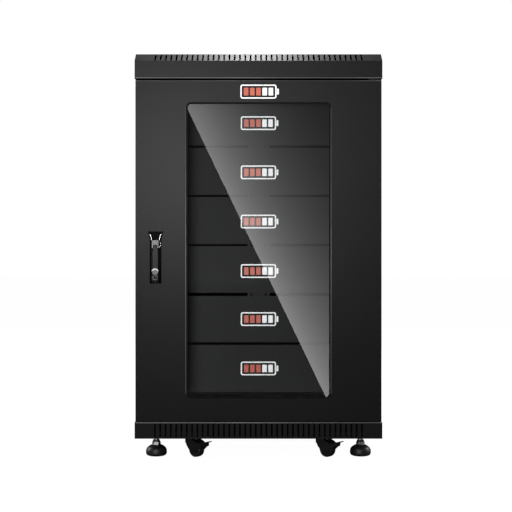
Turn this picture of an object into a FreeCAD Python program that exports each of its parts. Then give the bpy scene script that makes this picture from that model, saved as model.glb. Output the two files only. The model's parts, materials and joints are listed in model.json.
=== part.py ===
"""Floor-standing battery cabinet with six rack modules, a glazed front door and levelling feet.

Units are millimetres.  The origin is on the floor under the cabinet's centre, +X is to the right as
seen from the front, +Y runs to the back and +Z is up.  Every sub-part is written to parts/NODE.step.
"""

import FreeCAD, Part
import math
import os

# ---------------------------------------------------------------- driving dimensions
WIDTH = 600.0
DEPTH = 600.0
HEIGHT = 988.0
SHEET = 2.0                      # steel sheet thickness
PLINTH_BOTTOM = 51.5
PLINTH_TOP = 91.6
DECK_ENTRY_X = 100.0             # cable entry in the plinth's deck
DECK_ENTRY_FRONT = 110.0
DECK_ENTRY_BACK = 170.0
CHANNEL_IN = 130.0               # inner and outer walls of the channels that carry the casters
CHANNEL_OUT = 276.0
BOSS_R = 12.0                    # threaded bosses of the levelling feet
FILTER_THICK = 3.0
COVER_BOTTOM = 924.0
COVER_MOUTH_X = 262.0            # half sizes of the opening in the cover's floor
COVER_MOUTH_Y = 236.0
COVER_MAT_Y = 262.0
CHAMFER_RISE = 21.0
CHAMFER_RUN = 30.0
DOOR_DEPTH = 22.0
DOOR_BOTTOM = 93.0
DOOR_TOP = 919.3
DOOR_LIP = 9.0                   # width of the door tray's turned-in side lips
DOOR_LIP_END = 20.0              # where the lips stop short of the door's ends
PANEL_TOP = 922.0
PANEL_SCREW_Y = 255.0
PANEL_SCREW_Z = 506.7
PANEL_SCREW_R = 8.0
PANEL_SLOT_LENGTH = 40.0
PANEL_SLOTS = 15                 # vent slots on each side of a row's middle slot
DOOR_INSET = 2.0
WINDOW_HALF = 173.5
WINDOW_BOTTOM = 150.5
WINDOW_TOP = 864.6
WINDOW_RADIUS = 10.0
WINDOW_CHAMFER = 1.6
GASKET_LIP = 2.2                 # gasket visible inside the opening
GASKET_WRAP = 12.0               # gasket hidden behind the door leaf
GASKET_THICK = 1.5
GLASS_THICK = 4.0
STIFFENER_IN = 188.0             # vertical box rails behind the front door's leaf
STIFFENER_OUT = 212.0
STIFFENER_BACK = 15.0
BUSH_R = 8.5
BUSH_HEIGHT = 16.0
SLOT_COUNT = 40
SLOT_PITCH = 12.85
SLOT_WIDTH = 4.2
POST = 30.0                      # square section of the corner posts
POST_FACE = 270.0                # distance of the posts' outer faces from the centre plane, in y
POST_SIDE = 296.0                # the same, in x
RAIL_HEIGHT = 24.0
BRACKET_HEIGHTS = (130.0, 500.0, 860.0)          # undersides of the rack rails' brackets
BRACKET_FRONT = 262.0
BRACKET_BACK = 206.0
SILL_FRONT = 262.0               # cross bar below the lowest module
SILL_BACK = 246.0
SILL_TOP = 156.5
KEEPER_X = -288.0                # latch keeper: outer face of its wall
KEEPER_REACH = -271.0            # free end of its lip
KEEPER_FRONT = -279.0
KEEPER_HALF_HEIGHT = 20.0
KEEPER_THICK = 1.6
HINGE_X = 286.0
HINGE_Y = 289.0
PIN_R = 4.0
RUNNING = 0.05                   # radial clearance of turning fits

MODULES = 6
MODULE_PITCH = 122.0
STACK_BOTTOM = 155.0
MODULE_HALF = 219.0
MODULE_HEIGHT = 112.0
MODULE_FRONT = -235.0
MODULE_DEPTH = 400.0
FACE_HALF = 241.3                # half of a 19 inch rack panel
FACE_THICK = 3.0
FACE_GAPS = (4.0, 6.8, 8.0, 5.6, 5.6, 6.0)       # gap below each face plate
TAB_HALF = 27.0
TAB_FROM = 2                     # index of the lowest module whose face plate has a tab
TAB_NOTCH = 18.0                 # notches in a face plate's tab, from its middle
CASE_WALL = 1.5
FACE_SCREW_INSET = 22.0
RACK_HOLE_X = 232.55             # 465.1 mm between the hole columns
RACK_UNIT = 44.45
RACK_UNITS = 16
RACK_OFFSETS = (6.35, 22.225, 38.1)              # hole heights within one rack unit
RACK_HOLE_HALF = 4.75
RACK_SCREW_HOLE_R = 3.4
RACK_FACE_Y = 235.0              # front and rear faces of the rack rails
RACK_FLANGE_IN = 225.0
RACK_FLANGE_OUT = 243.0
RACK_WEB = 243.3                 # outer face of the rack rails' webs
RACK_WEB_DEPTH = 40.0
RUNNER_IN = 200.0
RUNNER_SHELF_HALF = 195.0
RUNNER_WALL_HALF = 233.0
RUNNER_WALL_HEIGHT = 30.0
CELL_COUNT = 15
CELL_PITCH = 27.5
CELL_THICK = 22.0
CELL_FRONT = -130.0
CELL_BACK = 115.0
CELL_HEIGHT = 100.0
BOARD_HALF = 150.0
BOARD_Y = -190.0                 # front face of the management boards
BOARD_THICK = 1.6
BOARD_PARTS = ((-100.0, 30.0, 20.0), (0.0, 44.0, 34.0), (95.0, 24.0, 24.0))     # x, width, height
TERMINAL_X = 120.0
TERMINAL_RISE = 62.0             # height of the terminals above a module's floor
TERMINAL_END = 184.0
BUSBAR_FRONT = 212.0
BUSBAR_THICK = 5.0
INSULATOR_HEIGHT = 14.0

LOCK_X = -249.0
LOCK_BOTTOM = 428.0
LOCK_TOP = 553.5
LOCK_HALF = 14.0
SPINDLE_Z = 524.0
LIFT_Z = 516.0
KEY_Z = 455.5
HOUSING_THICK = 3.0
FLARE = 3.5                      # how far the escutcheon widens on each side towards its top
SHAFT_R = 6.0
SPINDLE_HOLE_R = 8.0
HEAD_HALF = 8.0                  # forked head of the spindle and the lever's tongue in it
FORK_HALF = 5.5
TONGUE_HALF = 5.2
LIFT_PIN_R = 1.5
LIFT_PIN_DEPTH = 8.0             # height of the lever's hinge pin above the door face
LEVER_HALF = 8.8
KEY_R = 7.0
REAR_BARREL_R = 8.8
PROUD = 13.0                     # how far both locks stand out of their doors

FOOT_X = 253.0
FOOT_Y = 235.0
FOOT_R = 26.0
STUD_R = 6.0
CASTER_X = 161.0
CASTER_Y = 250.0
WHEEL_R = 19.0
WHEEL_LIFT = 0.4
TRAIL = 12.0
CASTER_TOP = 63.0
CASTER_BOLT_X = 20.0             # half the spacing of a caster plate's bolts
CASTER_BOLT_Y = 15.0
CASTER_BOLT_R = 3.1
CHEEK_IN = 11.5                  # inner faces and thickness of a caster fork's cheeks
CHEEK_THICK = 3.0
KINGPIN_R = 4.0
WHEEL_HALF = 10.0
PEDAL_ANGLE = 28.0               # where the brake pedal's pin sits around the axle
PEDAL_REACH = 26.2
PEDAL_PIN_R = 1.5
ANCHOR_X = 60.0                  # floor anchor holes in the deck, four corners of a rectangle
ANCHOR_Y = 20.0
ANCHOR_R = 5.5
LIFTING_X = 200.0                # lifting-eye holes in the top cover
LIFTING_Y = 200.0
LIFTING_R = 5.5
CABLE_X = 90.0                   # cable entry in the cover's roof
CABLE_FRONT = 140.0
CABLE_BACK = 200.0
BRUSH_EDGE = 4.0                 # overlap of the brush frames on both sides of an entry's edge
HOOD_R = 22.0                    # radius of the casters' hoods
FRONT_HEADING = -41.0            # direction in which the front casters' wheels trail, in degrees
REAR_HEADING = 41.0

UP = FreeCAD.Vector(0, 0, 1)
RIGHT = FreeCAD.Vector(1, 0, 0)
BACK = FreeCAD.Vector(0, 1, 0)
SIGNS = (-1, 1)
CORNERS = [(sx, sy) for sy in SIGNS for sx in SIGNS]


# ---------------------------------------------------------------- shape helpers
def vec(x, y, z):
    return FreeCAD.Vector(x, y, z)


def box(x0, x1, y0, y1, z0, z1):
    """A box between two x, two y and two z values, given in any order."""
    low = vec(min(x0, x1), min(y0, y1), min(z0, z1))
    return Part.makeBox(abs(x1 - x0), abs(y1 - y0), abs(z1 - z0), low)


def rod(x, y, z, radius, length, axis=UP):
    return Part.makeCylinder(radius, length, vec(x, y, z), axis)


def fuse(shapes):
    first = shapes[0]
    return first.fuse(shapes[1:]).removeSplitter() if len(shapes) > 1 else first


def cut(shape, tools):
    return shape.cut(Part.makeCompound(tools))


def group(shapes):
    """Several separate solids in one sub-part."""
    solids = [solid for shape in shapes for solid in shape.Solids]
    return Part.makeCompound(solids)


def prism(points, start, length, axis):
    """A polygon given by 3-D points, moved to start and extruded along axis."""
    wire = Part.makePolygon(points + [points[0]])
    solid = Part.Face(wire).extrude(axis * length)
    solid.translate(start)
    return solid


def hexagon(x, y, z, flats, height, axis=UP):
    """A hexagonal prism whose flats are at the given distance."""
    radius = flats / math.sqrt(3)
    corners = []
    for k in range(6):
        angle = math.radians(60 * k)
        corners.append(vec(radius * math.cos(angle), radius * math.sin(angle), 0))
    solid = prism(corners, vec(0, 0, 0), height, UP)
    if axis != UP:
        solid.rotate(vec(0, 0, 0), UP.cross(axis), 90)
    solid.translate(vec(x, y, z))
    return solid


def rounded_slab(half, bottom, top, radius, y0, y1, centre=0.0):
    """A slab parallel to the door with four rounded corners."""
    slab = box(centre - half, centre + half, y0, y1, bottom, top)
    edges = [e for e in slab.Edges if abs(e.Vertexes[0].Y - e.Vertexes[1].Y) > 0.5 * abs(y1 - y0)]
    return slab.makeFillet(radius, edges)


def turned(profile):
    """A solid of revolution about Z from (radius, z) points."""
    face = Part.Face(Part.makePolygon([vec(r, 0, z) for r, z in profile + profile[:1]]))
    return face.revolve(vec(0, 0, 0), UP, 360)


def slot_row(y0, y1, z0, z1):
    """The tools for one row of ventilation slots across the cabinet's width."""
    first = -SLOT_PITCH * (SLOT_COUNT - 1) / 2
    tools = []
    for k in range(SLOT_COUNT):
        x = first + k * SLOT_PITCH
        tools.append(box(x - SLOT_WIDTH / 2, x + SLOT_WIDTH / 2, y0, y1, z0, z1))
    return tools


# ---------------------------------------------------------------- cabinet structure
def base_tray():
    """Plinth box with a slotted front and back, a top deck and two channels that carry the casters."""
    half_w, half_d = WIDTH / 2, DEPTH / 2
    deck = PLINTH_TOP - SHEET
    outer = box(-half_w, half_w, -half_d, half_d, PLINTH_BOTTOM, PLINTH_TOP)
    inner = box(SHEET - half_w, half_w - SHEET, SHEET - half_d, half_d - SHEET, PLINTH_BOTTOM - 1, deck)
    pieces = [outer.cut(inner)]
    for s in SIGNS:
        channel = box(s * CHANNEL_IN, s * CHANNEL_OUT, SHEET - half_d, half_d - SHEET, CASTER_TOP, deck)
        hollow = box(s * (CHANNEL_IN + SHEET), s * (CHANNEL_OUT - SHEET), SHEET - half_d, half_d - SHEET,
                     CASTER_TOP + SHEET, deck)
        pieces.append(channel.cut(hollow))
    for sx, sy in CORNERS:
        pieces.append(rod(sx * FOOT_X, sy * FOOT_Y, CASTER_TOP, BOSS_R, deck - CASTER_TOP))
    slot_low, slot_high = PLINTH_BOTTOM + 5, PLINTH_TOP - 4
    tools = slot_row(-half_d - 1, -half_d + SHEET, slot_low, slot_high)
    tools += slot_row(half_d - SHEET, half_d + 1, slot_low, slot_high)
    tools.append(box(-DECK_ENTRY_X, DECK_ENTRY_X, DECK_ENTRY_FRONT, DECK_ENTRY_BACK,
                     deck - 1, PLINTH_TOP + 1))
    for sx, sy in CORNERS:
        tools.append(rod(sx * FOOT_X, sy * FOOT_Y, CASTER_TOP - 1, STUD_R + RUNNING, 40))
        for dx, dy in CORNERS:
            tools.append(rod(sx * CASTER_X + dx * CASTER_BOLT_X, sy * CASTER_Y + dy * CASTER_BOLT_Y,
                             CASTER_TOP - 1, CASTER_BOLT_R + 0.1, SHEET + 2))
        tools.append(rod(sx * ANCHOR_X, sy * ANCHOR_Y, deck - 1, ANCHOR_R, SHEET + 2))
    return cut(fuse(pieces), tools)


def filter_mats():
    """Dark filter mats behind the front and rear slots of the plinth and of the cover."""
    half_w, inner = WIDTH / 2 - SHEET - 1, DEPTH / 2 - SHEET
    deck = PLINTH_TOP - SHEET
    mats = []
    for s in SIGNS:
        y0, y1 = s * inner, s * (inner - FILTER_THICK)
        mats.append(box(-half_w, half_w, y0, y1, PLINTH_BOTTOM + 0.5, CASTER_TOP))
        mats.append(box(1 - CHANNEL_IN, CHANNEL_IN - 1, y0, y1, CASTER_TOP, deck))
        for side in SIGNS:
            mats.append(box(side * (CHANNEL_IN + SHEET), side * (CHANNEL_OUT - SHEET), y0, y1,
                            CASTER_TOP + SHEET, deck))
        mats.append(box(-COVER_MOUTH_X, COVER_MOUTH_X, s * COVER_MAT_Y, s * (COVER_MAT_Y - FILTER_THICK),
                        COVER_BOTTOM + SHEET, HEIGHT - SHEET))
    return group(mats)


def corner_posts():
    posts = []
    for sx, sy in CORNERS:
        outer = box(sx * POST_SIDE, sx * (POST_SIDE - POST), sy * POST_FACE, sy * (POST_FACE - POST),
                    PLINTH_TOP, COVER_BOTTOM)
        inner = box(sx * (POST_SIDE - SHEET), sx * (POST_SIDE - POST + SHEET),
                    sy * (POST_FACE - SHEET), sy * (POST_FACE - POST + SHEET),
                    PLINTH_TOP - 1, COVER_BOTTOM + 1)
        posts.append(outer.cut(inner))
    return group(posts)


def frame_rails():
    """Rails that join the posts at the top, the rack rails' brackets, the sill and the keeper."""
    inner_x = POST_SIDE - POST
    inner_y = POST_FACE - POST
    low = COVER_BOTTOM - RAIL_HEIGHT
    rails = []
    sill = [box(-RACK_WEB, RACK_WEB, -SILL_FRONT, -SILL_BACK, BRACKET_HEIGHTS[0], SILL_TOP)]
    for s in SIGNS:
        rails.append(box(-inner_x, inner_x, s * POST_FACE, s * inner_y, low, COVER_BOTTOM))
        rails.append(box(s * POST_SIDE, s * inner_x, -inner_y, inner_y, low, COVER_BOTTOM))
        for z in BRACKET_HEIGHTS:
            for sy in SIGNS:
                bracket = box(s * inner_x, s * RACK_WEB, sy * BRACKET_BACK, sy * BRACKET_FRONT,
                              z, z + RAIL_HEIGHT)
                joins_sill = sy < 0 and z == BRACKET_HEIGHTS[0]
                (sill if joins_sill else rails).append(bracket)
    return group(rails + [fuse(sill), latch_keeper()])


def latch_keeper():
    """A bracket on the left front post with a lip that the latch cam turns in behind."""
    low, high = SPINDLE_Z - KEEPER_HALF_HEIGHT, SPINDLE_Z + KEEPER_HALF_HEIGHT
    wall = box(KEEPER_X, KEEPER_X + SHEET, KEEPER_FRONT, -POST_FACE, low, high)
    lip = box(KEEPER_X, KEEPER_REACH, KEEPER_FRONT, KEEPER_FRONT + KEEPER_THICK, low, high)
    return fuse([wall, lip])


def module_floor(index):
    return STACK_BOTTOM + index * MODULE_PITCH


def face_span(index):
    """Bottom and top of a module's face plate, which leaves half of each gap beside it."""
    upper_gap = FACE_GAPS[min(index + 1, MODULES - 1)]
    bottom = module_floor(index) + FACE_GAPS[index] / 2
    return bottom, module_floor(index) + MODULE_PITCH - upper_gap / 2


def screw_heights(index):
    """Heights of the face plate's screws on one side of a module."""
    bottom, top = face_span(index)
    return bottom + FACE_SCREW_INSET, top - FACE_SCREW_INSET


def rack_rail(sx, sy):
    """One L-section rack rail with square holes on the 15.875, 15.875, 12.7 pattern."""
    face_y = sy * RACK_FACE_Y
    top = COVER_BOTTOM - RAIL_HEIGHT
    flange = box(sx * RACK_FLANGE_IN, sx * RACK_FLANGE_OUT, face_y, face_y - sy * SHEET, PLINTH_TOP, top)
    web = box(sx * (RACK_WEB - SHEET), sx * RACK_WEB, face_y, face_y - sy * RACK_WEB_DEPTH,
              PLINTH_TOP, top)
    rail = fuse([flange, web])
    tools = []
    for unit in range(RACK_UNITS):
        for offset in RACK_OFFSETS:
            z = STACK_BOTTOM + unit * RACK_UNIT + offset
            tools.append(box(sx * (RACK_HOLE_X - RACK_HOLE_HALF), sx * (RACK_HOLE_X + RACK_HOLE_HALF),
                             face_y + sy, face_y - sy * (SHEET + 1),
                             z - RACK_HOLE_HALF, z + RACK_HOLE_HALF))
    if sy < 0:
        for index in range(MODULES):
            for z in screw_heights(index):
                tools.append(rod(sx * RACK_HOLE_X, face_y - 1, z, RACK_SCREW_HOLE_R, SHEET + 2, BACK))
    return cut(rail, tools)


def rack_rails():
    return group([rack_rail(sx, sy) for sx, sy in CORNERS])


def battery_runners():
    """Pairs of L-shaped runners between front and rear rack rails; each pair carries one module."""
    outer = RACK_WEB - SHEET
    runners = []
    for index in range(MODULES):
        z = module_floor(index)
        for s in SIGNS:
            shelf = box(s * RUNNER_IN, s * outer, -RUNNER_SHELF_HALF, RUNNER_SHELF_HALF, z, z + SHEET)
            wall = box(s * (outer - SHEET), s * outer, -RUNNER_WALL_HALF, RUNNER_WALL_HALF,
                       z, z + RUNNER_WALL_HEIGHT)
            runners.append(fuse([shelf, wall]))
    return group(runners)


def cover_profile(inset):
    """The cover's outline across the depth, moved inwards by inset."""
    half = DEPTH / 2 - inset
    shoulder = HEIGHT - CHAMFER_RISE - inset * 0.55
    ridge = DEPTH / 2 - CHAMFER_RUN - inset * 0.35
    low = COVER_BOTTOM if inset == 0 else COVER_BOTTOM + SHEET
    top = HEIGHT - inset
    return [vec(0, -half, low), vec(0, -half, shoulder), vec(0, -ridge, top),
            vec(0, ridge, top), vec(0, half, shoulder), vec(0, half, low)]


def top_cover():
    """Vented hood with slotted front and back chamfers and a cable entry near the back."""
    half = WIDTH / 2
    outer = prism(cover_profile(0), vec(-half, 0, 0), WIDTH, RIGHT)
    inner = prism(cover_profile(SHEET), vec(SHEET - half, 0, 0), WIDTH - 2 * SHEET, RIGHT)
    mouth = box(-COVER_MOUTH_X, COVER_MOUTH_X, -COVER_MOUTH_Y, COVER_MOUTH_Y,
                COVER_BOTTOM - 1, COVER_BOTTOM + SHEET + 1)
    low, high = HEIGHT - CHAMFER_RISE + 0.6, HEIGHT - 1.2
    slot_end = DEPTH / 2 - CHAMFER_RUN - 1
    tools = [inner, mouth]
    tools += slot_row(-DEPTH / 2 - 1, -slot_end, low, high)
    tools += slot_row(slot_end, DEPTH / 2 + 1, low, high)
    tools.append(box(-CABLE_X, CABLE_X, CABLE_FRONT, CABLE_BACK, HEIGHT - 4, HEIGHT + 1))
    for sx, sy in CORNERS:
        tools.append(rod(sx * LIFTING_X, sy * LIFTING_Y, HEIGHT - 4, LIFTING_R, 6))
    return cut(outer, tools)


def brush_strip(half, front, back, top):
    """A brush frame below a sheet whose underside is at top, and two rows of bristles that meet."""
    inside, middle = half - BRUSH_EDGE, (front + back) / 2
    first, last = front + BRUSH_EDGE, back - BRUSH_EDGE
    frame = box(-half - BRUSH_EDGE, half + BRUSH_EDGE, front - BRUSH_EDGE, back + BRUSH_EDGE, top - 3, top)
    frame = frame.cut(box(-inside, inside, first, last, top - 4, top + 1))
    front_row = box(-inside, inside, first, middle - 0.2, top - 2, top - 1)
    back_row = box(-inside, inside, middle + 0.2, last, top - 2, top - 1)
    return [frame, front_row, back_row]


def cable_brush():
    """Brush strips in the cover's and the deck's cable entries."""
    roof = brush_strip(CABLE_X, CABLE_FRONT, CABLE_BACK, HEIGHT - SHEET)
    deck = brush_strip(DECK_ENTRY_X, DECK_ENTRY_FRONT, DECK_ENTRY_BACK, PLINTH_TOP - SHEET)
    return group(roof + deck)


def side_panel(s):
    """Flat side panel with hemmed edges, two rows of vent slots and two screw recesses."""
    skin_x, hem_x, back_x = s * WIDTH / 2, s * (WIDTH / 2 - SHEET), s * POST_SIDE
    skin = box(skin_x, hem_x, -POST_FACE, POST_FACE, DOOR_BOTTOM, PANEL_TOP)
    hem = box(hem_x, back_x, -POST_FACE, POST_FACE, DOOR_BOTTOM, PANEL_TOP)
    inside = POST_FACE - 20
    hem = hem.cut(box(hem_x + s, back_x - s, -inside, inside, DOOR_BOTTOM + 20, PANEL_TOP - 20))
    panel = fuse([skin, hem])
    tools = []
    for k in range(-PANEL_SLOTS, PANEL_SLOTS + 1):
        y = k * SLOT_PITCH
        for z in (DOOR_BOTTOM + 45, PANEL_TOP - 85):
            tools.append(box(skin_x + s, hem_x - s, y - SLOT_WIDTH / 2, y + SLOT_WIDTH / 2,
                             z, z + PANEL_SLOT_LENGTH))
    for sy in SIGNS:
        tools.append(rod(min(skin_x, back_x) - 1, sy * PANEL_SCREW_Y, PANEL_SCREW_Z,
                         PANEL_SCREW_R + RUNNING, 6, RIGHT))
    return cut(panel, tools)


def panel_screws():
    """Quarter-turn screws of the two side panels, with a cross slot."""
    reach = WIDTH / 2 - 0.6
    arm, half_slot = 5, 1
    z = PANEL_SCREW_Z
    screws = []
    for s in SIGNS:
        for sy in SIGNS:
            y = sy * PANEL_SCREW_Y
            face, bottom = s * reach, s * (reach - 1.2)
            head = rod(min(face, s * POST_SIDE), y, z, PANEL_SCREW_R, reach - POST_SIDE, RIGHT)
            screws.append(cut(head, [
                box(face, bottom, y - arm, y + arm, z - half_slot, z + half_slot),
                box(face, bottom, y - half_slot, y + half_slot, z - arm, z + arm)]))
    return group(screws)


def hinge_pins():
    """Fixed pins and top brackets on which both doors turn."""
    pieces = []
    for sy in SIGNS:
        y = sy * HINGE_Y
        pieces.append(rod(HINGE_X, y, PLINTH_TOP, PIN_R, 22))
        pin = rod(HINGE_X, y, COVER_BOTTOM - 26, PIN_R, 24)
        plate = box(HINGE_X - 18, HINGE_X + 12, sy * (DEPTH / 2 - SHEET), sy * POST_FACE,
                    COVER_BOTTOM - 3, COVER_BOTTOM)
        pieces.append(fuse([plate, pin]))
    return group(pieces)


# ---------------------------------------------------------------- doors
def door_shell(sy):
    """A folded steel tray with its open side towards the cabinet; sy is -1 in front, 1 behind."""
    half = WIDTH / 2 - DOOR_INSET
    face = sy * DEPTH / 2
    outer = box(-half, half, face, face - sy * DOOR_DEPTH, DOOR_BOTTOM, DOOR_TOP)
    hollow = box(SHEET - half, half - SHEET, face - sy * SHEET, face - sy * (DOOR_DEPTH + 1),
                 DOOR_BOTTOM + SHEET, DOOR_TOP - SHEET)
    door = outer.cut(hollow)
    lips = []
    for s in SIGNS:
        lips.append(box(s * half, s * (half - DOOR_LIP), face - sy * (DOOR_DEPTH - SHEET),
                        face - sy * DOOR_DEPTH, DOOR_BOTTOM + DOOR_LIP_END, DOOR_TOP - DOOR_LIP_END))
    door = fuse([door] + lips)
    pins = [rod(HINGE_X, sy * HINGE_Y, DOOR_BOTTOM - 1, PIN_R + RUNNING, 4),
            rod(HINGE_X, sy * HINGE_Y, DOOR_TOP - 3, PIN_R + RUNNING, 4)]
    return cut(door, pins)


def front_door():
    """Door leaf with the rounded window opening, two stiffening rails and the spindle hole."""
    face = -DEPTH / 2
    door = door_shell(-1)
    rails = []
    for s in SIGNS:
        rails.append(box(s * STIFFENER_IN, s * STIFFENER_OUT, face + SHEET, face + STIFFENER_BACK,
                         DOOR_BOTTOM + SHEET, DOOR_TOP - SHEET))
    door = fuse([door] + rails)
    window = rounded_slab(WINDOW_HALF, WINDOW_BOTTOM, WINDOW_TOP, WINDOW_RADIUS, face - 1, face + 4)
    hollow_rails = []
    for s in SIGNS:
        hollow_rails.append(box(s * (STIFFENER_IN + SHEET), s * (STIFFENER_OUT - SHEET), face + SHEET,
                                face + STIFFENER_BACK - SHEET, DOOR_BOTTOM + SHEET, DOOR_TOP - SHEET))
    spindle_hole = rod(LOCK_X, face - 1, SPINDLE_Z, SPINDLE_HOLE_R, SHEET + 2, BACK)
    door = cut(door, [window, spindle_hole] + hollow_rails)
    rim = [e for e in door.Edges
           if all(abs(v.Y - face) < 0.01 for v in e.Vertexes)
           and all(abs(v.X) <= WINDOW_HALF + 0.01 for v in e.Vertexes)
           and all(WINDOW_BOTTOM - 0.01 <= v.Z <= WINDOW_TOP + 0.01 for v in e.Vertexes)]
    return door.makeChamfer(WINDOW_CHAMFER, rim)


def door_bushes():
    """Plastic bushes that turn on the front door's hinge pins."""
    bushes = []
    for z in (DOOR_BOTTOM + SHEET, DOOR_TOP - SHEET - BUSH_HEIGHT):
        bush = rod(HINGE_X, -HINGE_Y, z, BUSH_R, BUSH_HEIGHT)
        bushes.append(bush.cut(rod(HINGE_X, -HINGE_Y, z - 1, PIN_R + RUNNING, BUSH_HEIGHT + 2)))
    return group(bushes)


def window_slab(margin, radius, y0, y1):
    """A slab of the window's outline grown by margin on all sides."""
    return rounded_slab(WINDOW_HALF + margin, WINDOW_BOTTOM - margin, WINDOW_TOP + margin, radius, y0, y1)


def window_gasket():
    y0 = SHEET - DEPTH / 2
    y1 = y0 + GASKET_THICK
    outer = window_slab(GASKET_WRAP, WINDOW_RADIUS + 8, y0, y1)
    return outer.cut(window_slab(-GASKET_LIP, WINDOW_RADIUS - 2, y0 - 1, y1 + 1))


def window_glass():
    y0 = SHEET + GASKET_THICK - DEPTH / 2
    return window_slab(GASKET_WRAP - 1, WINDOW_RADIUS + 6, y0, y0 + GLASS_THICK)


def rear_door():
    """Rear door leaf with a lock hole and two fields of vent slots."""
    face = DEPTH / 2
    door = door_shell(1)
    tools = [rod(LOCK_X, face - 4, SPINDLE_Z, REAR_BARREL_R + RUNNING, 8, BACK)]
    for z in (DOOR_BOTTOM + 70, DOOR_TOP - 130):
        tools += slot_row(face - SHEET - 1, face + 1, z, z + 60)
    return cut(door, tools)


def rear_lock():
    """Quarter-turn lock of the rear door: barrel, knurled head with a grip bar, and cam."""
    face = DEPTH / 2
    barrel = rod(LOCK_X, face - 24, SPINDLE_Z, REAR_BARREL_R, 24, BACK)
    head = rod(LOCK_X, face + 0.5, SPINDLE_Z, 14, 4, BACK)
    grip = box(LOCK_X - 3, LOCK_X + 3, face + 4, face + PROUD, SPINDLE_Z - 13, SPINDLE_Z + 13)
    neck = rod(LOCK_X, face - 1, SPINDLE_Z, 8.0, 2, BACK)
    cam = box(LOCK_X - 7, LOCK_X + 7, face - 27, face - 24, SPINDLE_Z - 7, SPINDLE_Z + 30)
    return fuse([barrel, neck, head, grip, cam])


# ---------------------------------------------------------------- swing handle of the front door
def lock_housing():
    """Flat escutcheon that flares out towards its top, with a shallow finger dish there."""
    face = -DEPTH / 2
    front = face - HOUSING_THICK
    wide = LOCK_HALF + FLARE
    plate = rounded_slab(LOCK_HALF, LOCK_BOTTOM, LOCK_TOP, 2.0, front, face, LOCK_X)
    flare = prism([vec(-LOCK_HALF, 0, -22), vec(LOCK_HALF, 0, -22), vec(wide, 0, -2), vec(wide, 0, 0),
                   vec(-wide, 0, 0), vec(-wide, 0, -2)], vec(LOCK_X, front, LOCK_TOP), HOUSING_THICK, BACK)
    dish = prism([vec(-LOCK_HALF - 1, 0, 0), vec(LOCK_HALF + 1, 0, 0), vec(9.5, 0, -16),
                  vec(-9.5, 0, -16)], vec(LOCK_X, front - 1, LOCK_TOP - 2), HOUSING_THICK + 0.4, BACK)
    bore = rod(LOCK_X, front - 2, SPINDLE_Z, SHAFT_R + RUNNING, 8, BACK)
    return cut(fuse([plate, flare]), [dish, bore])


def lock_spindle():
    """Turning spindle: shaft through the door and a forked head that carries the lever."""
    face = -DEPTH / 2
    pin_y = face - LIFT_PIN_DEPTH
    shaft = rod(LOCK_X, face - 4, SPINDLE_Z, SHAFT_R, 31, BACK)
    head = box(LOCK_X - HEAD_HALF, LOCK_X + HEAD_HALF, face - PROUD + 0.5, face - HOUSING_THICK - 0.4,
               LIFT_Z - 3, SPINDLE_Z + 8)
    slot = box(LOCK_X - FORK_HALF, LOCK_X + FORK_HALF, face - PROUD - 1, face - HOUSING_THICK,
               LIFT_Z - 6, LIFT_Z + 5)
    head = head.cut(slot)
    pin = rod(LOCK_X - 7.5, pin_y, LIFT_Z, LIFT_PIN_R, 15, RIGHT)
    return fuse([shaft, head, pin])


def lever():
    """Lift-and-turn lever with a crowned face, a tongue on the hinge pin and a bore for the key."""
    face = -DEPTH / 2
    front, pin_y = face - PROUD, face - LIFT_PIN_DEPTH
    blade = box(LOCK_X - LEVER_HALF, LOCK_X + LEVER_HALF, front, face - 4, KEY_Z - 22, LIFT_Z - 9)
    long_edges = [e for e in blade.Edges
                  if abs(e.Vertexes[0].Z - e.Vertexes[1].Z) > 20 and e.Vertexes[0].Y < front + 1]
    blade = blade.makeFillet(3.0, long_edges)
    tongue = box(LOCK_X - TONGUE_HALF, LOCK_X + TONGUE_HALF, pin_y - 3, pin_y + 3, LIFT_Z - 10, LIFT_Z)
    knuckle = rod(LOCK_X - TONGUE_HALF, pin_y, LIFT_Z, 3.0, 2 * TONGUE_HALF, RIGHT)
    body = fuse([blade, tongue, knuckle])
    pin_hole = rod(LOCK_X - 6, pin_y, LIFT_Z, LIFT_PIN_R + RUNNING, 12, RIGHT)
    key_hole = rod(LOCK_X, front - 1, KEY_Z, KEY_R + RUNNING, PROUD, BACK)
    step = box(LOCK_X - 6, LOCK_X + 6, front - 1, front + 1.5, KEY_Z - 18, KEY_Z - 10)
    return cut(body, [pin_hole, key_hole, step])


def latch_cam():
    face = -DEPTH / 2
    y0 = face + 23.4
    plate = box(LOCK_X - 8, LOCK_X + 8, y0, y0 + 2.6, SPINDLE_Z - 9, SPINDLE_Z + 34)
    hole = rod(LOCK_X, y0 - 1, SPINDLE_Z, SHAFT_R, 5, BACK)
    return plate.cut(hole)


def key_cylinder():
    face = -DEPTH / 2
    barrel = rod(LOCK_X, face - PROUD + 0.4, KEY_Z, KEY_R, PROUD - 4.8, BACK)
    keyway = box(LOCK_X - 0.8, LOCK_X + 0.8, face - PROUD, face - PROUD + 4, KEY_Z - 3.5, KEY_Z + 3.5)
    return barrel.cut(keyway)


# ---------------------------------------------------------------- battery modules
def battery_case(index):
    """Sheet-steel case, hollow, open at the front where the face plate closes it."""
    z = module_floor(index) + SHEET
    back = MODULE_FRONT + MODULE_DEPTH
    outer = box(-MODULE_HALF, MODULE_HALF, MODULE_FRONT, back, z, z + MODULE_HEIGHT)
    inner = box(CASE_WALL - MODULE_HALF, MODULE_HALF - CASE_WALL, MODULE_FRONT - 1, back - CASE_WALL,
                z + CASE_WALL, z + MODULE_HEIGHT - CASE_WALL)
    return outer.cut(inner)


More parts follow.
